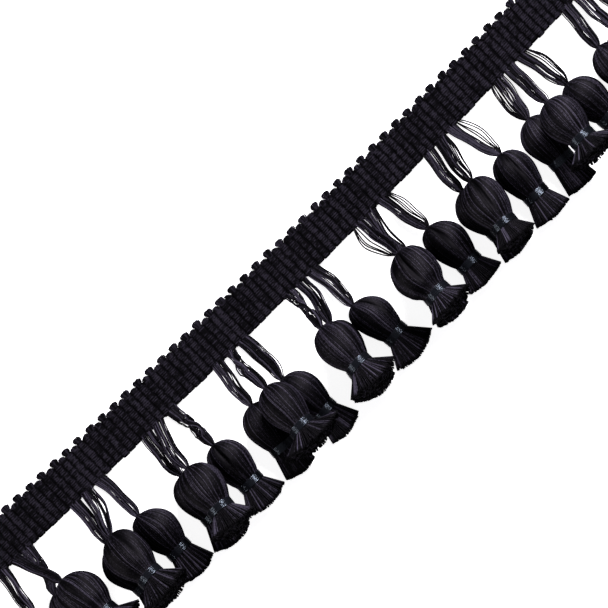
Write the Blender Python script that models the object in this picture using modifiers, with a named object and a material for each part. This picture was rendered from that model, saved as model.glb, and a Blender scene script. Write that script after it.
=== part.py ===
"""A tassel fringe trim, lying face up on a level surface.

A ribbed woven heading runs along X. Its weft runs out of the lower edge as 27 hanging loops, in nine
groups of three, and each loop carries a ball-headed tassel of folded yarn, bound at the neck by a wound
thread. The tassels are too wide to lie side by side, so one of each group rides on its neighbours.

Metres, +Z up. The origin is at the middle of the heading's back, the tassels point toward -Y, and z = 0
is the surface that the trim lies on.
"""

import math
from collections import namedtuple

import bmesh
import bpy
from mathutils import Matrix, Vector

MM = 0.001
GAP = 0.3 * MM  # left between two pieces that touch

# The heading.
GROUPS = 9
RIBS_PER_GROUP = 12
RIB_PITCH = 2.9 * MM
LOWER_EDGE = 7.7 * MM  # from the centre line down to the notches between ribs
UPPER_EDGE = 6.2 * MM  # and up to them, below the loops of weft
HEADING_THICKNESS = 2.0 * MM  # at the crest of a rib
VALLEY_DEPTH = 0.5 * MM
RIB_CREST = 0.3  # a crest reaches this share of the pitch to either side of its middle
LOWER_BUMP = 0.7 * MM  # how far a rib rounds out past the notches at the lower edge
TALL_LOOP = 2.2 * MM  # every other rib ends in a tall loop at the upper edge
LOW_LOOP = 0.8 * MM
BOW = 2.7 * MM  # the ends lie this much higher than the middle
LENGTH = GROUPS * RIBS_PER_GROUP * RIB_PITCH

# The hanging loops: each is the weft of two ribs.
LOOPS_PER_GROUP = 3
RIBS_PER_LOOP = 2
LOOP_SIDES = 6
LOOP_ROOT_INSIDE = 1.6 * MM  # how far its root reaches into the heading
LOOP_ROOT_HEIGHT = 1.0 * MM
LOOP_RISE = 0.35  # how much of its climb to the tassel is done half way along
Section = namedtuple("Section", "along half_width half_depth")
LOOP_SECTIONS = [
    Section(0.00, 2.3 * MM, 0.70 * MM),
    Section(0.55, 2.4 * MM, 1.00 * MM),
    Section(1.00, 1.1 * MM, 1.00 * MM),
]

# A tassel. A head ring is a share of the head's length from its top, and its share of the head's half
# width, and how much of that a cleft takes.
TASSEL_SIDES = 10
HEAD_MIDDLE = 0.48
HeadRing = namedtuple("HeadRing", "along reach cleft")
HEAD_RINGS = [
    HeadRing(0.04, 0.34, 0.45),
    HeadRing(0.18, 0.77, 0.30),
    HeadRing(HEAD_MIDDLE, 1.0, 0.20),
    HeadRing(0.78, 0.85, 0.10),
]
NECK_LENGTH = 3.2 * MM
NECK_HALF_WIDTH = 4.7 * MM
FLATTENED = {"low": 0.80, "high": 0.90}  # depth over width, lying on the surface or on other tassels
SKIRT_HALF_DEPTH = 6.5 * MM  # at its cut end, however wide it spreads
LOW_HEIGHT = 5.3 * MM  # of the axis of a tassel that lies on the surface
HIGH_TIP = math.radians(18)  # how steeply a tassel on top points up towards its skirt

# The thread wound round each neck.
TIE_START = 0.3 * MM  # below the start of the neck
TIE_LENGTH = 2.6 * MM
TIE_THICKNESS = 0.8 * MM
TIE_HALF_WIDTH = NECK_HALF_WIDTH + 0.45 * MM  # inside, clear of the neck on its flattened side too

# One row for each tassel, in the order of the loops: the middle of its head along the heading and below
# the heading's centre line (mm), where it lies, the half width of its head and its length down to the
# neck (mm), how far it leans toward +X (degrees), its whole length and the half width of its skirt's end
# (mm), and where a cleft runs down its head, in degrees round the axis from +X with 90 facing up.
Tassel = namedtuple("Tassel", "across drop lies half_width head lean length flare cleft")
TASSELS = [
    Tassel(-151.8, 33.7, "low", 6.8, 17.0, -3, 29.4, 7.2, None),
    Tassel(-130.0, 32.5, "high", 8.3, 19.0, 7, 29.5, 11.0, None),
    Tassel(-137.9, 33.9, "low", 6.8, 17.0, 3, 29.8, 7.8, None),
    Tassel(-113.2, 34.6, "low", 7.4, 17.0, 2, 29.8, 7.3, None),
    Tassel(-109.2, 33.3, "high", 7.9, 19.3, 3, 31.1, 10.5, 62),
    Tassel(-96.0, 34.2, "low", 7.5, 17.0, 0, 29.9, 7.7, None),
    Tassel(-78.1, 34.3, "low", 7.3, 16.4, -5, 30.4, 8.1, None),
    Tassel(-73.9, 34.2, "high", 7.7, 17.7, -6, 28.5, 9.4, None),
    Tassel(-61.4, 34.8, "low", 7.2, 16.9, -2, 28.8, 8.9, 98),
    Tassel(-44.0, 33.9, "low", 7.3, 16.6, -6, 29.5, 6.5, None),
    Tassel(-34.9, 33.5, "high", 7.4, 18.1, -1, 27.8, 12.6, None),
    Tassel(-27.0, 35.2, "low", 7.3, 17.1, 6, 29.7, 7.4, None),
    Tassel(-6.3, 32.3, "high", 7.6, 17.9, 1, 29.5, 10.8, None),
    Tassel(-5.2, 33.2, "low", 7.2, 17.0, -8, 30.2, 8.7, None),
    Tassel(9.4, 34.0, "low", 7.1, 16.6, 6, 29.5, 10.0, 50),
    Tassel(30.0, 33.7, "high", 8.6, 19.2, 3, 28.5, 9.9, 92),
    Tassel(31.1, 33.9, "low", 7.2, 17.0, -5, 29.5, 7.0, None),
    Tassel(45.9, 34.3, "low", 7.3, 17.4, 1, 28.4, 8.1, 84),
    Tassel(61.1, 33.7, "low", 7.4, 17.0, 3, 29.7, 7.3, None),
    Tassel(64.6, 33.8, "high", 7.7, 18.7, -6, 28.1, 8.5, 86),
    Tassel(79.8, 34.6, "low", 7.2, 17.3, -3, 29.3, 7.9, 80),
    Tassel(94.8, 32.9, "low", 7.3, 16.8, -4, 30.7, 6.5, None),
    Tassel(104.1, 33.5, "high", 7.7, 17.3, -2, 26.4, 10.9, None),
    Tassel(115.7, 34.3, "low", 7.2, 17.0, 5, 29.6, 6.4, None),
    Tassel(131.0, 33.6, "low", 7.3, 17.0, 0, 29.3, 6.9, None),
    Tassel(138.9, 33.1, "high", 7.8, 18.0, 1, 28.5, 9.8, 90),
    Tassel(147.5, 33.7, "low", 7.2, 17.0, 4, 29.5, 7.6, None),
]

# Colours: black rayon, a little duller where it is woven, and a brighter wound thread.
WOVEN = (0.010, 0.009, 0.012)
YARN = (0.016, 0.015, 0.019)
THREAD = (0.022, 0.023, 0.029)


def clear_scene():
    for old in list(bpy.data.objects):
        bpy.data.objects.remove(old)


def collection(name):
    made = bpy.data.collections.new(name)
    bpy.context.scene.collection.children.link(made)
    return made


def finished(obj, colour, roughness):
    """Gives the piece its own yarn material and smooth shading between soft edges."""
    material = bpy.data.materials.new(obj.name)
    material.use_nodes = True
    shader = material.node_tree.nodes["Principled BSDF"]
    shader.inputs["Base Color"].default_value = (*colour, 1)
    shader.inputs["Roughness"].default_value = roughness
    shader.inputs["Metallic"].default_value = 0
    obj.data.materials.append(material)
    obj.data.shade_smooth()
    obj.data.set_sharp_from_angle(angle=math.radians(50))
    return obj


def mesh_object(name, bm, into):
    mesh = bpy.data.meshes.new(name)
    bm.to_mesh(mesh)
    bm.free()
    obj = bpy.data.objects.new(name, mesh)
    into.objects.link(obj)
    return obj


def side_of(point, sides):
    """Which of its sides a primitive's vertex lies on, counted from the +Y that primitives start at."""
    return round((math.atan2(point.y, point.x) - math.pi / 2) / math.tau * sides) % sides


def add_ringed_body(bm, sides, rings, place):
    """Adds a sphere of that many rings to bm and moves each of its vertices to place(ring, side).

    Rings 1 to rings run from end to end, and 0 and rings + 1 are the points in the middle of the ends.
    """
    made = bmesh.ops.create_uvsphere(bm, u_segments=sides, v_segments=rings + 1, radius=1)
    for vertex in made["verts"]:
        polar = math.acos(max(-1, min(1, vertex.co.z)))
        ring = rings + 1 - round(polar / math.pi * (rings + 1))
        vertex.co = place(ring, side_of(vertex.co, sides))


def bow(x):
    """How far the heading's centre line lies toward +Y at x."""
    return BOW * (2 * x / LENGTH) ** 2


def flattened(tassel, half_width):
    """The half depth of a head or neck of that half width."""
    return half_width * FLATTENED[tassel.lies]


def height(tassel):
    """Of the middle of its head: on the surface, or clear of the low tassels that it crosses."""
    if tassel.lies == "low":
        return LOW_HEIGHT
    highest = LOW_HEIGHT
    for low in (other for other in TASSELS if other.lies == "low"):
        widths = (tassel.half_width + low.half_width) * MM + GAP
        depths = flattened(tassel, tassel.half_width * MM) + flattened(low, low.half_width * MM) + GAP
        sideways = abs(tassel.across - low.across) * MM / widths
        if sideways < 1:
            highest = max(highest, LOW_HEIGHT + depths * math.sqrt(1 - sideways**2))
    return highest


def placing(tassel):
    """The matrix of a tassel: its origin at the top of its head, +Z toward its skirt and +Y facing up."""
    lean = math.radians(tassel.lean)
    tip = HIGH_TIP if tassel.lies == "high" else 0.0
    axis = Vector((math.sin(lean) * math.cos(tip), -math.cos(lean) * math.cos(tip), math.sin(tip)))
    across = Vector((math.cos(lean), math.sin(lean), 0))
    x = tassel.across * MM
    head_middle = Vector((x, bow(x) - tassel.drop * MM, height(tassel)))
    turned = Matrix((across, axis.cross(across), axis)).transposed().to_4x4()
    return Matrix.Translation(head_middle - HEAD_MIDDLE * tassel.head * MM * axis) @ turned


def first_side(tassel):
    """The angle of side 0 of a tassel, so that a cleft runs down a side."""
    return math.radians(tassel.cleft or 0)


def around(tassel, half_width, half_depth, side):
    """A point on a tassel's flattened round section."""
    angle = first_side(tassel) + math.tau * side / TASSEL_SIDES
    return half_width * math.cos(angle), half_depth * math.sin(angle)


def tassel_rings(tassel):
    """Each ring's distance along the axis, its half width and half depth, and how deep a cleft is there."""
    head, neck = tassel.head * MM, NECK_HALF_WIDTH
    rings = []
    for ring in HEAD_RINGS:
        half_width = tassel.half_width * MM * ring.reach
        rings.append((ring.along * head, half_width, flattened(tassel, half_width), ring.cleft))
    for along in (head, head + NECK_LENGTH):
        rings.append((along, neck, flattened(tassel, neck), 0))
    rings.append((tassel.length * MM, tassel.flare * MM, SKIRT_HALF_DEPTH, 0))
    return rings


def make_tassel(number, tassel, into):
    """The folded hank of one tassel: its ball head, its neck and its flared skirt."""
    rings = tassel_rings(tassel)
    matrix = placing(tassel)

    def place(ring, side):
        if ring == 0:
            point = Vector((0, 0, 0))
        elif ring > len(rings):
            point = Vector((0, 0, tassel.length * MM))
        else:
            along, half_width, half_depth, cut = rings[ring - 1]
            cleft = tassel.cleft is not None and side % (TASSEL_SIDES // 2) == 0
            x, y = around(tassel, half_width, half_depth, side)
            left = 1 - cut if cleft else 1
            point = Vector((x * left, y * left, along))
        on_surface = matrix @ point
        on_surface.z = max(on_surface.z, 0)
        return matrix.inverted() @ on_surface

    bm = bmesh.new()
    add_ringed_body(bm, TASSEL_SIDES, len(rings), place)
    obj = mesh_object(f"tassel_{number:02d}", bm, into)
    obj.matrix_world = matrix
    return finished(obj, YARN, 0.55)


def make_tie(number, tassel, holder, into):
    """The wound thread round a tassel's neck: an open tube given its thickness."""
    bm = bmesh.new()
    made = bmesh.ops.create_cone(
        bm, cap_ends=False, segments=TASSEL_SIDES, radius1=1, radius2=1, depth=TIE_LENGTH
    )
    for vertex in made["verts"]:
        side = side_of(vertex.co, TASSEL_SIDES)
        vertex.co = (*around(tassel, TIE_HALF_WIDTH, flattened(tassel, TIE_HALF_WIDTH), side), vertex.co.z)
    obj = mesh_object(f"tie_{number:02d}", bm, into)
    obj.parent = holder
    obj.location = (0, 0, tassel.head * MM + TIE_START + TIE_LENGTH / 2)
    thicken = obj.modifiers.new("thread", "SOLIDIFY")
    thicken.thickness = TIE_THICKNESS
    thicken.offset = 1
    return finished(obj, THREAD, 0.35)


def loop_root(index):
    """Where hanging loop number index starts, inside the heading."""
    group, place = divmod(index, LOOPS_PER_GROUP)
    group_x = (group - (GROUPS - 1) / 2) * RIBS_PER_GROUP * RIB_PITCH
    x = group_x + (place - (LOOPS_PER_GROUP - 1) / 2) * RIBS_PER_LOOP * RIB_PITCH
    return Vector((x, bow(x) - LOWER_EDGE + LOOP_ROOT_INSIDE, LOOP_ROOT_HEIGHT))


def add_hanging_loop(bm, index, tassel):
    """Adds one loop's flat hank, from the heading to just short of its tassel's head."""
    matrix = placing(tassel)
    start = loop_root(index)
    end = matrix @ Vector((0, 0, -GAP))
    middle = Vector((start.x, (start.y + end.y) / 2, start.z + (end.z - start.z) * LOOP_RISE))
    across_end = matrix.to_3x3() @ Vector((1, 0, 0))
    up_end = matrix.to_3x3() @ Vector((0, 1, 0))

    def place(ring, side):
        section = LOOP_SECTIONS[max(0, min(len(LOOP_SECTIONS) - 1, ring - 1))]
        t = section.along
        centre = start * (1 - t) ** 2 + middle * 2 * t * (1 - t) + end * t**2
        if ring in (0, len(LOOP_SECTIONS) + 1):
            return centre
        across = Vector((1, 0, 0)).lerp(across_end, t)
        up = Vector((0, 0, 1)).lerp(up_end, t).normalized()
        angle = math.tau * side / LOOP_SIDES
        sideways = across * section.half_width * math.cos(angle)
        return centre + sideways + up * section.half_depth * math.sin(angle)

    add_ringed_body(bm, LOOP_SIDES, len(LOOP_SECTIONS), place)


def heading_columns():
    """The lines across the heading from edge to edge: each one's x, its two ends and its height."""
    ribs = GROUPS * RIBS_PER_GROUP
    columns = []
    for rib in range(ribs):
        middle = (rib + 0.5) * RIB_PITCH - LENGTH / 2
        loop = TALL_LOOP if rib % 2 else LOW_LOOP
        for x in (middle - RIB_CREST * RIB_PITCH, middle + RIB_CREST * RIB_PITCH):
            columns.append((x, LOWER_BUMP, loop, HEADING_THICKNESS))
        if rib < ribs - 1:
            columns.append((middle + RIB_PITCH / 2, 0, 0, HEADING_THICKNESS - VALLEY_DEPTH))
    return columns


def make_heading(into, cutters):
    """The woven heading and its hanging loops, one comb."""
    columns = heading_columns()
    bm = bmesh.new()
    bmesh.ops.create_grid(bm, x_segments=len(columns) - 1, y_segments=1, size=1)
    for vertex in bm.verts:
        index = round((vertex.co.x + 1) / 2 * (len(columns) - 1))
        x, lower, upper, top = columns[index]
        edge = UPPER_EDGE + upper if vertex.co.y > 0 else -LOWER_EDGE - lower
        vertex.co = (x, bow(x) + edge, top)
    lowered = bmesh.ops.extrude_face_region(bm, geom=bm.faces[:])
    for vertex in (item for item in lowered["geom"] if isinstance(item, bmesh.types.BMVert)):
        vertex.co.z = 0
    bmesh.ops.recalc_face_normals(bm, faces=bm.faces)
    heading = mesh_object("heading", bm, into)

    loops = bmesh.new()
    for index, tassel in enumerate(TASSELS):
        add_hanging_loop(loops, index, tassel)
    hanging = mesh_object("hanging_loops", loops, cutters)
    hanging.hide_render = True
    hanging.display_type = "WIRE"
    join = heading.modifiers.new("weft runs out", "BOOLEAN")
    join.operation = "UNION"
    join.object = hanging
    return finished(heading, WOVEN, 0.7)


def main():
    clear_scene()
    trim = collection("tassel_fringe_trim")
    cutters = collection("cutters")
    make_heading(trim, cutters)
    for number, tassel in enumerate(TASSELS, start=1):
        holder = make_tassel(number, tassel, trim)
        make_tie(number, tassel, holder, trim)


main()
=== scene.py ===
"""The looks of the tassel fringe trim: ribbed heading, weft loops, hanging loops, yarn tassels and ties.

Every piece is made of closed tubes, most of them single strands, worked out with numpy and placed by the
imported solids. Lengths are in metres, in the frame of the solids: X along the heading, -Y toward the tassels,
+Z up, z = 0 the floor.
"""

import math
from collections import namedtuple

import bpy
import numpy as np
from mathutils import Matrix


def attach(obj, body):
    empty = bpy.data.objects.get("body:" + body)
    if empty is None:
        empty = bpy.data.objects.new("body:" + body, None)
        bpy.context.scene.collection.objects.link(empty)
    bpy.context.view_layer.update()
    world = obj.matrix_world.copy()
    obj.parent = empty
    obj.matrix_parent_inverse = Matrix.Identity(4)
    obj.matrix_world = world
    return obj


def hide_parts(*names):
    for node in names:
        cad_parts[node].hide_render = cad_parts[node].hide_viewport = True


MM = 0.001
FLOOR_CLEARANCE = 0.05 * MM  # yarn lying on the floor stays this far above it
TWIST_PITCH = 0.9 * MM  # of the plies of a yarn

# The heading, in the counts that the solids were made with.
GROUPS = 9
RIBS_PER_GROUP = 12
RIBS = GROUPS * RIBS_PER_GROUP
LOOPS_PER_GROUP = 3
RIB_CREST = 0.3  # the outermost crest reaches this share of the pitch past its rib's middle
LOWER_EDGE = 7.7 * MM
UPPER_EDGE = 6.2 * MM
LOWER_BUMP = 0.7 * MM
RIB_TOP = 1.8 * MM
RIB_WIDTH = 1.14  # share of the pitch
RIB_ROUND = 0.9 * MM  # length over which a rib's end rounds off
RIB_SECTION = [  # across and up, from one side over the crest and back under
    (-1.0, 0.5), (-0.8, 0.86), (-0.36, 1.0), (0.36, 1.0), (0.8, 0.86), (1.0, 0.5), (0.75, 0.0), (-0.75, 0.0),
]
DASH_PITCH = 0.8 * MM  # the warp yarns that cross the ribs
ROWS_PER_DASH = 4
RIB_ROWS = 75
DASH_HEIGHT = 0.2 * MM
RIB_PLIES = 6  # round each rib
TALL_LOOP = 2.25 * MM
LOW_LOOP = 0.95 * MM
YARN_RADIUS = 0.19 * MM

# How each hanging loop differs from a straight one: how far its middle swings and how far past the middle of
# the head it ends, toward +X (mm), how much wider than others it is, how far a few loose strands hang out to
# one side (mm), and where along it the loop is twisted.
Loop = namedtuple("Loop", "sway end wide loose twist", defaults=(0.0, 0.0, 1.0, 0.0, None))
LOOPS = {
    1: Loop(end=3.5),
    2: Loop(end=-1.2, wide=0.8),
    3: Loop(sway=1.3, end=0.8, wide=0.95, twist=0.6),
    4: Loop(sway=0.1, end=1.7, wide=0.9),
    5: Loop(sway=0.9, end=0.7, wide=1.2),
    6: Loop(sway=0.6, end=-1.8, wide=0.85),
    7: Loop(sway=-0.8, end=0.4),
    8: Loop(sway=-1.4, end=-0.4, wide=0.95),
    9: Loop(sway=0.6, end=-0.7, wide=0.95, twist=0.5),
    10: Loop(sway=-0.4, end=0.5),
    11: Loop(sway=-0.5, twist=0.3),
    12: Loop(sway=1.1, end=-0.8, wide=1.2),
    13: Loop(sway=0.9, wide=0.95, twist=0.4),
    14: Loop(sway=1.2, end=1.0, wide=0.95),
    15: Loop(sway=0.8, end=-1.6, wide=1.05),
    16: Loop(end=1.3, wide=0.9, loose=-3.6),
    17: Loop(sway=-1.5, end=1.5),
    18: Loop(sway=-0.5, end=-1.4, wide=0.85, loose=2.4),
    19: Loop(sway=-0.8, end=1.3),
    20: Loop(sway=-0.7, end=0.7, wide=0.9, loose=1.5),
    21: Loop(sway=-0.8, wide=0.8, loose=3.8),
    22: Loop(end=0.6, wide=1.25, loose=-1.6),
    23: Loop(sway=-0.4, wide=0.95),
    24: Loop(end=-1.0, wide=0.95, loose=2.6),
}
LOOP_STRANDS = 33
LOOP_STATIONS = 17
LOOP_INSET = 0.8 * MM  # a loop starts this far inside the heading's lower edge
LOOP_HEIGHT = 1.0 * MM  # its start's height above the floor
LOOP_SLITS = 3
LOOP_TWIST = 1.0  # the angle, in radians, by which a twisted loop turns to and fro
LOOSE_REACH = np.array([1.0, 0.8, 0.55, 0.3])  # of the loose strands, from the outermost inward

# A tassel. The solid's rings are counted from its top. The tie's places are along the axis, from the start
# of the neck.
SHOULDER_RING, WIDEST_RING, NECK_RING, CUT_RING = 2, 3, 5, 7
LOW_FLATNESS = 0.8  # height over width of a low tassel's section
HIGH_FLATNESS = 0.9  # and of a high one's, whose axis rises
CLEFT_SHARE = 0.8  # a head whose shoulder is drawn in to less than this share has a cleft
TIE_MIDDLE = 1.6 * MM
TIE_END = 2.9 * MM
HEAD_STRANDS = 86
HEAD_STATIONS = 26
HEAD_GAPS = 26  # short gaps between strands
RIDGES = np.array([0.4, -0.3, 0.4, -0.8])  # the crests and furrows of two strands, in their pitch
FURROW_PAINTED_SHADE = np.array([0.0, 0.4, 0.0, 1.0])  # painted shade: how much darker the crests and furrows are drawn
CLEFT_SPREAD = math.radians(6)
HEAD_PROFILE = [  # shares of its length and half width
    (0.0, 0.10), (0.03, 0.33), (0.08, 0.55), (0.18, 0.78), (0.29, 0.92), (0.40, 0.985), (0.50, 1.0),
    (0.60, 0.975), (0.70, 0.92), (0.80, 0.84),
]
SKIRT_HALF_DEPTH = 6.5 * MM
STRAND_INSET = 0.3 * MM  # strands lie this far inside the solid's outline, so that neighbours keep clear
SKIRT_STRANDS = 124
SKIRT_STATIONS = 7
SKIRT_CURL = 0.27  # strands at the sides end this share sooner for each neck's width that a skirt widens
SKIRT_START = -0.15  # share of the skirt's length: its strands start under the tie
END_STUBS = 150
STUB_START = 0.55
CORE_POINTS = 40
CORE_END = 0.9
CORE_SHARE = 0.95  # the core's reach, as a share of the skirt's
CORE_INSET = 0.2 * MM
TIE_TURNS = 6.5
TIE_STATIONS_PER_TURN = 34
TIE_THREAD_RADIUS = 0.2 * MM
TIE_WOUND_LENGTH = 2.6 * MM

# A tassel's frame, its section's height over its width, the half widths of its head, neck and skirt's end,
# where its head and skirt end, and the angle of its cleft.
Tassel = namedtuple("Tassel", "number top across up axis flat width neck head flare length cleft")
# Closed tubes: their rings of points, the rings' shades (tone and painted shade) and places along, and the
# strands round each tube.
Tubes = namedtuple("Tubes", "rings shade along strands")

# The picture: the width that it shows at the view's height, the point below the camera, and the colours.
VIEW_WIDTH = 0.2111
VIEW_HEIGHT = 0.01
VIEW_CENTRE = (-0.0047, -0.0142)
VIEW_TURN = math.radians(-45.14)
CAMERA_DISTANCE = 1.8
FLOOR_REACH = 9
FIBRE_TINT = (0.93, 0.86, 1.0)
SATIN_TINT = (0.72, 0.84, 1.0)
DARKEST_TONE_AND_PAINTED_SHADE = (0.0004, 0.0004, 0.0006)  # the darkest strands, and the painted shade in furrows, gaps, grooves and clefts
NOISE_SCALE = 1900
NOISE_STRENGTH = 1.1


def unit(vectors):
    return vectors / np.maximum(np.linalg.norm(vectors, axis=-1, keepdims=True), 1e-12)


def curve(x, points):
    """A smooth curve through the points, read at x."""
    xs, ys = np.array(points, float).T
    slopes = np.gradient(ys, xs)
    i = np.clip(np.searchsorted(xs, x, side="right") - 1, 0, len(xs) - 2)
    h = xs[i + 1] - xs[i]
    f = np.clip((x - xs[i]) / h, 0, 1)
    ends = ys[i] * (1 + 2 * f) * (1 - f) ** 2 + ys[i + 1] * f**2 * (3 - 2 * f)
    return ends + h * (slopes[i] * f * (1 - f) ** 2 - slopes[i + 1] * f**2 * (1 - f))


def lengths(paths):
    steps = np.linalg.norm(np.diff(paths, axis=1), axis=-1)
    return np.concatenate([np.zeros((len(paths), 1)), np.cumsum(steps, axis=1)], axis=1)


def strand_tubes(paths, radius, sides, shade, up):
    """Round strands along paths, an array of (strands, stations, 3)."""
    tangent = unit(np.gradient(paths, axis=1))
    side = unit(np.cross(np.broadcast_to(up, paths.shape), tangent))
    normal = np.cross(tangent, side)
    angle = np.linspace(0, math.tau, sides, endpoint=False)[:, None]
    radius = np.broadcast_to(radius, paths.shape[:2])[..., None, None]
    outward = side[:, :, None] * np.cos(angle) + normal[:, :, None] * np.sin(angle)
    rings = paths[:, :, None] + radius * outward
    return Tubes(rings, np.asarray(shade).reshape(len(paths), -1, 1), lengths(paths), 1)


def mesh_piece(name, parts, material):
    """One object of closed tubes, with a shade at each point and a map of turns and lengths."""
    points, quads, caps, uvs, shades = [], [], [], [], []
    base = 0
    for part in parts:
        n, s, k = part.rings.shape[:3]
        index = base + np.arange(n * s * k).reshape(n, s, k)
        base += index.size
        after = np.roll(index, -1, axis=2)
        quads.append(np.stack([index[:, :-1], after[:, :-1], after[:, 1:], index[:, 1:]], -1).reshape(-1, 4))
        caps += [*index[:, 0, ::-1], *index[:, -1]]
        turn = np.arange(k + 1) / k * part.strands
        shape = (n, s - 1, k)
        along = part.along[..., None]
        left, right = (np.broadcast_to(part_turn, shape) for part_turn in (turn[:-1], turn[1:]))
        low, high = (np.broadcast_to(end, shape) for end in (along[:, :-1], along[:, 1:]))
        uvs.append(np.stack([left, low, right, low, right, high, left, high], -1).reshape(-1, 2))
        points.append(part.rings.reshape(-1, 3))
        shades.append(np.broadcast_to(part.shade, (n, s, k)).reshape(-1))
    points, quads, uvs, shades = (np.concatenate(item) for item in (points, quads, uvs, shades))
    corners = np.concatenate([quads.reshape(-1), *caps])
    sizes = np.concatenate([np.full(len(quads), 4), [len(cap) for cap in caps]])
    starts = np.cumsum(sizes) - sizes
    uvs = np.concatenate([uvs, np.zeros((len(corners) - len(uvs), 2))])
    mesh = bpy.data.meshes.new(name)
    mesh.vertices.add(len(points))
    mesh.vertices.foreach_set("co", points.astype(np.float32).reshape(-1))
    mesh.loops.add(len(corners))
    mesh.loops.foreach_set("vertex_index", corners.astype(np.int32))
    mesh.polygons.add(len(sizes))
    mesh.polygons.foreach_set("loop_start", starts.astype(np.int32))
    mesh.update(calc_edges=True)
    mesh.attributes.new("strand", "FLOAT", "POINT").data.foreach_set("value", shades.astype(np.float32))
    mesh.uv_layers.new(name="strand_map").data.foreach_set("uv", uvs.astype(np.float32).reshape(-1))
    mesh.polygons.foreach_set("use_smooth", np.arange(len(sizes)) < len(quads))
    mesh.materials.append(material)
    mesh.validate()
    piece = bpy.data.objects.new(name, mesh)
    bpy.context.scene.collection.objects.link(piece)
    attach(piece, "root")
    return piece


# Reading the solids.


def vertices(node):
    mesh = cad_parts[node].data
    found = np.zeros(len(mesh.vertices) * 3)
    mesh.vertices.foreach_get("co", found)
    return np.unique(np.round(found.reshape(-1, 3), 6), axis=0)


def read_heading():
    """The pitch of the ribs and the curvature of the heading's centre line."""
    points = vertices("heading")
    pitch = (points[:, 0].max() - points[:, 0].min()) / (RIBS - 1 + 2 * RIB_CREST)
    back = points[(points[:, 2] < 0.1 * MM) & (points[:, 1] > 0)]
    return pitch, np.polyfit(back[:, 0], back[:, 1], 2)[0]


def read_tassel(number):
    """A tassel's frame, from its tie, and its sizes, from the rings of its solid."""
    tie = vertices(f"tie_{number:02d}")
    middle = tie.mean(axis=0)
    _, directions = np.linalg.eigh(np.cov((tie - middle).T))
    axis, up, _ = directions.T
    axis = -axis * np.sign(axis[1])
    up = up * np.sign(up[2])
    across = np.cross(up, axis)
    x, y, z = ((vertices(f"tassel_{number:02d}") - middle) @ np.array([across, up, axis]).T).T
    top = middle + axis * z.min()
    z = z - z.min()
    flat = LOW_FLATNESS if axis[2] < 0.1 else HIGH_FLATNESS
    reach = np.hypot(x, y / flat)
    heights = np.sort(z)
    heights = heights[np.diff(heights, prepend=-1) > 0.3 * MM]
    ring = np.searchsorted(heights, z + 0.1 * MM) - 1
    shoulder = (ring == SHOULDER_RING) & (y > 0)
    least = np.flatnonzero(shoulder)[np.argmin(reach[shoulder])]
    cleft = None
    if reach[least] < CLEFT_SHARE * reach[ring == SHOULDER_RING].max():
        cleft = math.atan2(y[least] / flat, x[least])
    width, neck = (reach[ring == place].max() for place in (WIDEST_RING, NECK_RING))
    flare = np.abs(x[ring == CUT_RING]).max()
    head, length = heights[NECK_RING], heights[CUT_RING]
    return Tassel(number, top, across, up, axis, flat, width, neck, head, flare, length, cleft)


# Materials.


def math_node(nodes, operation, *values):
    node = nodes.new("ShaderNodeMath")
    node.operation = operation
    for socket, value in zip(node.inputs, values):
        if value is not None:
            socket.default_value = value
    return node


def strand_material(name, dark, bright, roughness, gloss, tint, twist_depth):
    """Yarn: each strand lighter or darker by its tone and painted shade, with the ridges of its twist."""
    material = bpy.data.materials.new(name)
    material.use_nodes = True
    nodes, links = material.node_tree.nodes, material.node_tree.links
    shader = nodes["Principled BSDF"]
    shader.inputs["Roughness"].default_value = roughness
    shader.inputs["Specular IOR Level"].default_value = gloss
    shader.inputs["Specular Tint"].default_value = (*tint, 1)

    uv = nodes.new("ShaderNodeUVMap")
    uv.uv_map = "strand_map"
    split = nodes.new("ShaderNodeSeparateXYZ")
    links.new(uv.outputs["UV"], split.inputs[0])
    turns = math_node(nodes, "MULTIPLY_ADD", None, 1 / TWIST_PITCH)
    links.new(split.outputs["Y"], turns.inputs[0])
    links.new(split.outputs["X"], turns.inputs[2])
    angle = math_node(nodes, "MULTIPLY", None, 2 * math.tau)
    links.new(turns.outputs[0], angle.inputs[0])
    wave = math_node(nodes, "SINE")
    links.new(angle.outputs[0], wave.inputs[0])
    bump = nodes.new("ShaderNodeBump")
    bump.inputs["Strength"].default_value = 0.6
    bump.inputs["Distance"].default_value = twist_depth
    links.new(wave.outputs[0], bump.inputs["Height"])
    links.new(bump.outputs["Normal"], shader.inputs["Normal"])

    strand = nodes.new("ShaderNodeAttribute")
    strand.attribute_name = "strand"
    coordinates = nodes.new("ShaderNodeTexCoord")
    noise = nodes.new("ShaderNodeTexNoise")
    noise.inputs["Scale"].default_value = NOISE_SCALE
    noise.inputs["Detail"].default_value = 2
    links.new(coordinates.outputs["Object"], noise.inputs["Vector"])
    mixed = math_node(nodes, "MULTIPLY_ADD", None, NOISE_STRENGTH)
    links.new(noise.outputs["Fac"], mixed.inputs[0])
    links.new(strand.outputs["Fac"], mixed.inputs[2])
    ramp = nodes.new("ShaderNodeValToRGB")
    first, last = ramp.color_ramp.elements
    first.position, first.color = 0.55, (*dark, 1)
    last.position, last.color = 1.0, (*bright, 1)
    links.new(mixed.outputs[0], ramp.inputs["Fac"])
    links.new(ramp.outputs["Color"], shader.inputs["Base Color"])
    return material


# The heading.


def rib_centres():
    return (np.arange(RIBS) + 0.5 - RIBS / 2) * PITCH


def bow(x):
    return BOW * x**2


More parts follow.
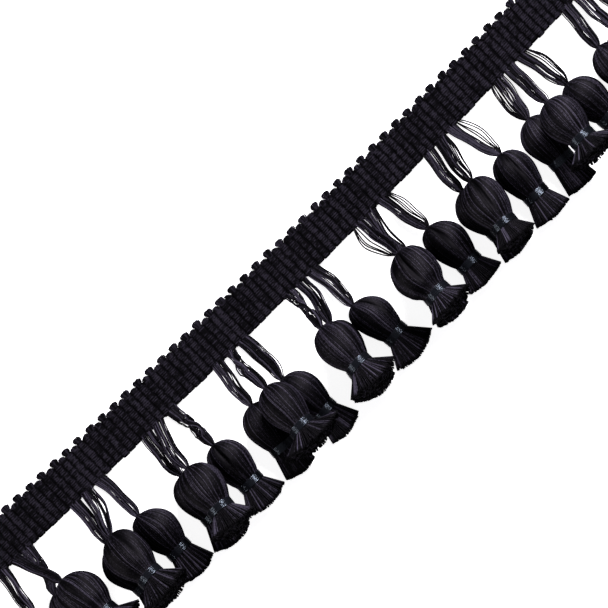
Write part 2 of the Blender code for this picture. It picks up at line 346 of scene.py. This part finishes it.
def make_ribs(rng):
    """The woven ribs: flat-backed tubes side by side, crossed by the warp's short dashes."""
    x = rib_centres()[:, None]
    low = -LOWER_EDGE - LOWER_BUMP + rng.normal(0, 0.12 * MM, (RIBS, 1))
    row = np.arange(RIB_ROWS)
    y = low + row * DASH_PITCH / ROWS_PER_DASH
    high = y[:, -1:]
    from_end = np.minimum(y - low, high - y)
    rounded = np.sqrt(np.clip(1 - (1 - np.clip(from_end / RIB_ROUND, 0, 1)) ** 2, 0.04, 1))
    parity = np.arange(RIBS)[:, None] % 2
    dash = np.cos(math.tau * (row / ROWS_PER_DASH + 0.5 * parity))
    number = (row + 2 * parity) // ROWS_PER_DASH
    strength = np.take_along_axis(rng.uniform(0.3, 1.2, (RIBS, number.max() + 1)), number, axis=1)
    wobble = 0.07 * MM * np.sin(row * 0.11 + rng.uniform(0, math.tau, (RIBS, 1)))
    half_width = PITCH * RIB_WIDTH / 2 * (0.6 + 0.4 * rounded)
    height = RIB_TOP * rounded * rng.uniform(0.93, 1.0, (RIBS, 1)) + DASH_HEIGHT * dash * strength
    across = np.array([point[0] for point in RIB_SECTION])
    up = np.array([point[1] for point in RIB_SECTION])
    along_x = (x + wobble)[..., None] + half_width[..., None] * across
    along_z = FLOOR_CLEARANCE + height[..., None] * up
    along_y = y[..., None] + bow(along_x)
    # Each rib's own tone, plus painted light and shade: the dashes' crests drawn lighter, the gaps between
    # dashes darker.
    shade = rng.uniform(-0.15, 0.1, (RIBS, 1)) + 0.65 * np.clip(0.3 + dash, 0, 1) * strength
    speckle = np.repeat(rng.uniform(-0.3, 0.3, (RIBS, RIB_ROWS // 3, len(up))), 3, axis=1)
    # Painted shade: the dash light kept to the rib's top, the speckle fading down its sides, and the sides and
    # underside darker toward the grooves.
    shade = shade[..., None] * np.clip(3 * up - 2, 0, 1) + speckle * up - 1.5 * (1 - up)
    return Tubes(np.stack([along_x, along_y, along_z], -1), shade, y, RIB_PLIES)


def make_edge_loops(rng):
    """The weft's loops along the upper edge: tall and low ones by turns."""
    parts = []
    for tall, strands, stations in ((True, 9, 11), (False, 8, 9)):
        x = rib_centres()[1 if tall else 0 :: 2]
        count = len(x)
        height = (TALL_LOOP if tall else LOW_LOOP) + rng.normal(0, 0.12 * MM, count)
        place = np.linspace(-1, 1, strands)
        turn = np.linspace(-0.15, 1.15, stations) * math.pi
        rise = np.where((turn < 0) | (turn > math.pi), 0, np.sin(np.clip(turn, 0, math.pi)))
        neck, cap = (1.0, 1.5) if tall else (1.2, 1.3)
        grown = np.clip((rise - 0.35) / 0.35, 0, 1)
        widening = neck + (cap - neck) * grown**2 * (3 - 2 * grown)
        spread = widening * rng.uniform(0.92, 1.1, (count, 1, 1)) * MM
        edge = 1 - 0.2 * place**4 if tall else 1 - 0.55 * place**2
        lean = rng.normal(0, 0.18 * MM, count)
        px = x[:, None, None] + place[:, None] * spread + lean[:, None, None] * rise
        px = px + rng.normal(0, 0.03 * MM, (count, strands, 1))
        top = (height[:, None] * edge + rng.normal(0, 0.05 * MM, (count, strands)))[..., None]
        py = UPPER_EDGE - 0.7 * MM + (top + 0.5 * MM) * rise
        py = py + bow(px)
        pz = 1.0 * MM + 0.62 * MM * np.cos(np.clip(turn, 0, math.pi)) + 0 * px
        paths = np.stack([px, py, pz], -1).reshape(-1, stations, 3)
        shade = rng.uniform(-0.4, 0.45, len(paths))
        parts.append(strand_tubes(paths, YARN_RADIUS * 1.2, 4, shade, np.array([1.0, 0, 0])))
    return parts


# The hanging loops.


def make_stem(t, rng):
    """The strands of one hanging loop, from the heading's lower edge to the top of its tassel's head."""
    loop = LOOPS.get(t.number, Loop())
    group, place = divmod(t.number - 1, LOOPS_PER_GROUP)
    x = ((group - (GROUPS - 1) / 2) * RIBS_PER_GROUP + (place - 1) * 2) * PITCH
    start = np.array([x, bow(x) - LOWER_EDGE + LOOP_INSET, LOOP_HEIGHT])
    end = t.top + t.across * loop.end * MM + t.axis * (0.3 + 0.06 * loop.end**2) * MM
    s = np.linspace(0, 1, LOOP_STATIONS)
    f = s[:, None]
    middle = np.array([start[0], (start[1] + end[1]) / 2, start[2] + (end[2] - start[2]) * 0.35])
    line = start * (1 - f) ** 2 + middle * 2 * f * (1 - f) + end * f**2
    wave = 0.25 * np.sin(math.tau * (1.4 * s + rng.uniform(0, 1)))
    line[:, 0] = start[0] + (end[0] - start[0]) * s + (loop.sway + wave) * MM * np.sin(math.pi * s)
    half_width = curve(s, [(0, 2.4), (0.25, 2.25), (0.5, 2.15), (0.75, 2.0), (0.9, 1.6), (1, 0.6)]) * MM
    half_width = half_width * (1 + (loop.wide - 1) * np.sin(math.pi * s))
    if loop.twist:
        half_width = half_width * (1 - 0.3 * np.exp(-(((s - loop.twist) / 0.12) ** 2)))
    half_depth = curve(s, [(0, 0.5), (0.3, 0.7), (0.7, 0.8), (0.9, 0.8), (1, 0.5)]) * MM
    n = LOOP_STRANDS
    side = np.linspace(-1, 1, n)[:, None] + rng.normal(0, 0.05, (n, 1))
    layer = rng.uniform(-1, 1, (n, 1))
    side = side + 0.07 * np.sin(math.tau * (s * rng.uniform(0.5, 1.3, (n, 1)) + layer)) * np.sin(math.pi * s)
    for _ in range(LOOP_SLITS):
        slit, place_of_slit, long = rng.uniform(-0.7, 0.7), rng.uniform(0.3, 0.85), rng.uniform(0.09, 0.2)
        off = side[:, 8:9] - slit
        push = rng.uniform(0.06, 0.15) * loop.wide * np.sign(off) * np.exp(-np.abs(off) * 2.5)
        side = side + push * np.exp(-(((s - place_of_slit) / long) ** 2))
    turn = rng.normal(0, 0.25) * s
    if loop.twist:
        turn = turn + LOOP_TWIST * np.sin(math.tau * np.clip((s - loop.twist) / 0.5 + 0.5, 0, 1))
    across = unit(np.array([1.0, 0, 0]) * (1 - f) + t.across * f)
    up = unit(np.array([0, 0, 1.0]) * (1 - f) + t.up * f)
    wide, deep = side * half_width, layer * half_depth
    sideways = (wide * np.cos(turn) - 1.8 * deep * np.sin(turn))[..., None] * across
    upward = (wide * np.sin(turn) * 0.6 + deep * np.cos(turn))[..., None] * up
    paths = line + sideways + upward
    loose = len(LOOSE_REACH)
    outer = slice(0, loose) if loop.loose < 0 else slice(n - loose, n)
    if loop.loose:
        bulge = loop.loose * MM * LOOSE_REACH
        bulge = bulge if loop.loose < 0 else bulge[::-1]
        peak = rng.uniform(0.38, 0.5, (loose, 1))
        paths[outer, :, 0] += bulge[:, None] * np.sin(math.pi * s ** (np.log(0.5) / np.log(peak)))
    paths[..., 2] = np.maximum(paths[..., 2], YARN_RADIUS + FLOOR_CLEARANCE)
    shade = rng.uniform(-0.65, 0.55, n)
    radius = np.full((n, 1), YARN_RADIUS)
    if loop.loose:
        shade[outer] = rng.uniform(-0.5, 0.0, loose)
        radius[outer] *= 1.3
    return strand_tubes(paths, radius, 4, shade, np.array([0, 0, 1.0]))


# The tassels.


def on_section(t, z, reach_x, reach_y, angle):
    """Points of a tassel at z along its axis, with those reaches to its sides and up and down."""
    points = t.top + z[..., None] * t.axis
    points = points + (reach_x * np.cos(angle))[..., None] * t.across
    points = points + (reach_y * np.sin(angle))[..., None] * t.up
    points[..., 2] = np.maximum(points[..., 2], FLOOR_CLEARANCE)
    return points


def make_head(t, rng):
    """The ball head: strands side by side from the top, in under the tie."""
    columns = 2 * HEAD_STRANDS
    z = (1 - np.cos(math.pi * np.linspace(0, 1, HEAD_STATIONS))) / 2 * (t.head + TIE_MIDDLE)
    neck = t.neck / t.width
    profile = [*HEAD_PROFILE, (0.91, neck + 0.1), (1.0, neck), (1.12, neck * 0.97)]
    share = curve(z / t.head, profile)[:, None]
    turn = np.arange(columns) / columns * math.tau
    phases = rng.uniform(0, math.tau, 6)
    zz = z[:, None]
    swell = np.sin(math.pi * np.clip(zz / t.head, 0, 1))
    wander = 0.04 * np.sin(3 * turn + phases[0] + zz * 180) + 0.025 * np.sin(7 * turn + phases[1] - zz * 260)
    angle = turn + wander * swell
    strand = np.repeat(np.arange(HEAD_STRANDS), 2)
    lock = 0.012 * np.sin(5 * turn + phases[2] + zz * 120) + 0.012 * np.sin(11 * turn + phases[3] - zz * 200)
    lock = lock + 0.010 * np.sin(23 * turn + phases[4] + zz * 90)
    reach = share * (1 + lock * swell)
    # How deep the cleft cuts in at each point; it is drawn darker there, painted shade.
    cleft = 0 * reach
    if t.cleft is not None:
        depth = np.interp(z / t.head, [0, 0.15, 0.5, 0.9], [0.3, 0.4, 0.25, 0])[:, None]
        for middle in (t.cleft, t.cleft + math.pi):
            off = np.abs((angle - middle + math.pi) % math.tau - math.pi)
            near = np.exp(-((off / CLEFT_SPREAD) ** 2) / 2)
            reach = reach * (1 - depth * near)
            cleft = cleft + depth * near
    pitch = math.tau * reach * t.width / HEAD_STRANDS
    ridge = RIDGES[np.arange(columns) % 4] * pitch
    lift = np.repeat(rng.normal(0, 0.07 * MM, HEAD_STRANDS), 2) * np.clip(share * 1.5, 0, 1)
    gaps = np.zeros((HEAD_STATIONS, columns))
    for column in rng.choice(HEAD_STRANDS, HEAD_GAPS, replace=False) * 2 + 1:
        centre, half = rng.uniform(0.15, 0.85) * t.head, rng.uniform(2, 6) * MM
        gaps[:, column] = 0.5 * MM * np.exp(-(((z - centre) / half) ** 2))
    extra = ridge + lift - gaps - STRAND_INSET * swell
    zs = np.broadcast_to(zz, reach.shape)
    rings = on_section(t, zs, reach * t.width + extra, reach * t.width * t.flat + extra, angle)
    off_middle = LOOPS.get(t.number, Loop()).end * np.clip(1 - zz / (0.6 * t.head), 0, 1) ** 2
    rings = rings + (off_middle * MM)[..., None] * t.across
    shade = rng.uniform(-0.15, 0.5, HEAD_STRANDS)[strand] + rng.uniform(-0.1, 0.1, HEAD_STRANDS)[strand // 2]
    # Painted shade: the furrows between strands, the short gaps and the cleft are drawn darker.
    shade = shade - FURROW_PAINTED_SHADE[np.arange(columns) % 4] - gaps / MM - 3 * cleft
    return Tubes(rings[None], shade[None], z[None], HEAD_STRANDS)


def skirt_reaches(t, share):
    """How far the skirt reaches to the sides and up and down, at a share of the way to its end."""
    neck = t.neck * 0.96
    return neck + (t.flare - neck) * share, neck * t.flat + (SKIRT_HALF_DEPTH - neck * t.flat) * share


def skirt_ends(t, turn, inward):
    """How far along the axis the strands end: those that spread to the sides end sooner."""
    curl = SKIRT_CURL * (t.flare / t.neck - 1) * np.cos(turn) ** 2 * inward**2
    return (t.length - t.head - TIE_END) * (1 - curl)


def skirt_paths(t, turn, start, ends, inward, rise):
    """Strands at those angles round the skirt, from start to ends, a share inward of its surface."""
    share = start + (1 - start) * rise
    side, deep = (reach - STRAND_INSET * rise for reach in skirt_reaches(t, np.clip(share, 0, 1)))
    z = t.head + TIE_END + share * ends
    paths = on_section(t, z, side * inward, deep * inward, turn + 0 * share)
    paths[..., 2] = np.maximum(paths[..., 2], 2 * YARN_RADIUS + FLOOR_CLEARANCE)
    return paths


def make_skirt(t, rng):
    """The cut skirt: its outer strands, the cut ends that show inside and a core behind them."""
    n = SKIRT_STRANDS
    slope = t.up * 0.5 + t.across * 0.3
    turn = ((np.arange(n) + rng.uniform(-0.25, 0.25, n)) / n * math.tau)[:, None]
    phase = rng.uniform(0, math.tau, 3)
    locks = rng.integers(10, 15)
    rise = np.linspace(0, 1, SKIRT_STATIONS)
    cut = 0.25 * MM * np.sin(2 * turn + phase[1]) + 0.1 * MM * np.sin(5 * turn + phase[2])
    ends = skirt_ends(t, turn, 1) + cut + rng.normal(0, 0.08 * MM, (n, 1))
    behind = (np.arange(n) % 2)[:, None]
    inward = 1 - behind * (0.02 + 0.03 * rise) + 0.02 * np.sin(locks * turn + phase[0]) * rise
    inward = inward + rng.normal(0, 0.008, (n, 1)) * rise
    pull = 0.3 / locks * np.sin(locks * turn + phase[0]) * rise + rng.normal(0, 0.02, (n, 1)) * rise**2
    paths = skirt_paths(t, turn + pull, SKIRT_START, ends, inward, rise)
    thick = YARN_RADIUS * (1.2 + 0.55 * rise * t.flare / (10 * MM))
    # Painted shade: the strands behind drawn darker, and the last stretch before each cut end; the random tone
    # also sits lower than the head's, painted shade under the head.
    shade = rng.uniform(-0.6, 0.5, (n, 1)) - 0.4 * behind - 0.5 * (rise > 0.95)
    outer = strand_tubes(paths, thick, 4, shade, slope)

    m = END_STUBS
    inward = np.sqrt(rng.uniform(0, 0.86, m))[:, None]
    around = rng.uniform(0, math.tau, m)[:, None]
    ends = skirt_ends(t, around, inward) + rng.normal(0, 0.12 * MM, (m, 1)) - 0.3 * MM
    paths = skirt_paths(t, around, STUB_START, ends, inward, np.array([0.0, 1.0]))
    stubs = strand_tubes(paths, YARN_RADIUS * 2.0, 4, rng.uniform(-0.4, 0.3, m), slope)

    turn = np.linspace(0, math.tau, CORE_POINTS, endpoint=False)
    share = np.linspace(SKIRT_START, CORE_END, SKIRT_STATIONS)[:, None]
    side, deep = skirt_reaches(t, np.clip(share, 0, 1))
    z = t.head + TIE_END + share * skirt_ends(t, turn, 1)
    side, deep = (reach * CORE_SHARE - CORE_INSET + 0 * turn for reach in (side, deep))
    core = on_section(t, z, side, deep, turn + 0 * share)
    # Painted shade: the core is drawn dark all over, a dark filler standing for the shade inside the skirt.
    core = Tubes(core[None], np.full((1, 1, CORE_POINTS), -0.5), z[None, :, 0], CORE_POINTS)
    return [outer, stubs, core]


def make_tie(t, rng):
    """The wound thread: a helix of touching turns round the neck."""
    a = np.linspace(0, TIE_TURNS * math.tau, int(TIE_TURNS * TIE_STATIONS_PER_TURN))
    z = t.head + TIE_MIDDLE + (a / (TIE_TURNS * math.tau) - 0.5) * TIE_WOUND_LENGTH
    out = TIE_THREAD_RADIUS * 0.9 + rng.normal(0, 0.015 * MM, a.shape)
    paths = on_section(t, z, t.neck + out, t.neck * t.flat + out, a)[None]
    return strand_tubes(paths, TIE_THREAD_RADIUS, 5, rng.uniform(0, 1, 1), t.axis)


# The picture.


def light(name, location, size, power, colour):
    data = bpy.data.lights.new(name, "AREA")
    data.shape = "RECTANGLE"
    data.size, data.size_y = size
    data.energy = power
    data.color = colour
    lamp = bpy.data.objects.new(name, data)
    bpy.context.scene.collection.objects.link(lamp)
    lamp.location = location
    toward = -lamp.location
    lamp.rotation_euler = toward.to_track_quat("-Z", "Y").to_euler()


def make_studio():
    scene = bpy.context.scene
    scene.view_settings.view_transform = "Standard"
    world = bpy.data.worlds.new("studio")
    scene.world = world
    world.use_nodes = True
    background = world.node_tree.nodes["Background"]
    background.inputs["Color"].default_value = (0.95, 0.92, 1, 1)
    background.inputs["Strength"].default_value = 0.2
    floor_mesh = bpy.data.meshes.new("floor")
    corners = [(x * FLOOR_REACH, y * FLOOR_REACH, 0) for x, y in ((-1, -1), (1, -1), (1, 1), (-1, 1))]
    floor_mesh.from_pydata(corners, [], [(0, 1, 2, 3)])
    floor = bpy.data.objects.new("floor", floor_mesh)
    scene.collection.objects.link(floor)
    pale = bpy.data.materials.new("pale_floor")
    pale.use_nodes = True
    shader = pale.node_tree.nodes["Principled BSDF"]
    shader.inputs["Base Color"].default_value = (0.9, 0.9, 0.9, 1)
    shader.inputs["Roughness"].default_value = 0.8
    shader.inputs["Emission Color"].default_value = (1, 1, 1, 1)
    shader.inputs["Emission Strength"].default_value = 0.88
    floor_mesh.materials.append(pale)
    floor.visible_glossy = False
    floor.visible_diffuse = False
    light("key", (0.6, 0.6, 0.62), (0.4, 0.4), 27, (0.96, 0.94, 1.0))
    light("fill", (-0.8, 0.2, 0.5), (0.4, 0.3), 6, (1.0, 0.98, 0.97))


def make_camera():
    data = bpy.data.cameras.new("camera")
    data.sensor_width = 36
    data.lens = data.sensor_width * CAMERA_DISTANCE / VIEW_WIDTH
    data.clip_end = 30
    camera = bpy.data.objects.new("camera", data)
    bpy.context.scene.collection.objects.link(camera)
    camera.location = (*VIEW_CENTRE, CAMERA_DISTANCE + VIEW_HEIGHT)
    camera.rotation_euler = (0, 0, VIEW_TURN)
    bpy.context.scene.camera = camera


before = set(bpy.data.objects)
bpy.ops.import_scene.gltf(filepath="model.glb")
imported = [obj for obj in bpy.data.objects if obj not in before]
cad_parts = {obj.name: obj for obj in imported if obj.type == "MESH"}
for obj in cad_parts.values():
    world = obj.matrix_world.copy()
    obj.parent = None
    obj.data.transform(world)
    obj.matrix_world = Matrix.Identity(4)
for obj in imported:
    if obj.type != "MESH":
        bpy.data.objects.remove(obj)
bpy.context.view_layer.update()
make_camera()
make_studio()
PITCH, BOW = read_heading()

woven = strand_material(
    "woven_heading", dark=DARKEST_TONE_AND_PAINTED_SHADE, bright=(0.0145, 0.0126, 0.0186),
    roughness=0.7, gloss=0.04, tint=FIBRE_TINT, twist_depth=0.04 * MM,
)
yarn = strand_material(
    "tassel_yarn", dark=DARKEST_TONE_AND_PAINTED_SHADE, bright=(0.041, 0.036, 0.053),
    roughness=0.45, gloss=0.06, tint=FIBRE_TINT, twist_depth=0.04 * MM,
)
thread = strand_material(
    "tie_thread", dark=(0.0008, 0.0008, 0.0012), bright=(0.003, 0.0033, 0.005),
    roughness=0.17, gloss=0.8, tint=SATIN_TINT, twist_depth=0.01 * MM,
)

tassels = [read_tassel(number) for number in range(1, GROUPS * LOOPS_PER_GROUP + 1)]
edge = mesh_piece("edge_loops", make_edge_loops(np.random.default_rng(2)), woven)
stems = [make_stem(t, np.random.default_rng(100 + t.number)) for t in tassels]
hanging = mesh_piece("hanging_loops", stems, yarn)
ribs = mesh_piece("heading_ribs", [make_ribs(np.random.default_rng(1))], woven)
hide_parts("heading")
for t in tassels:
    rng = np.random.default_rng(200 + t.number)
    body = mesh_piece(f"yarn_{t.number:02d}", [make_head(t, rng), *make_skirt(t, rng)], yarn)
    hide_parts(f"tassel_{t.number:02d}")
    tie = mesh_piece(f"thread_{t.number:02d}", [make_tie(t, rng)], thread)
    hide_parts(f"tie_{t.number:02d}")
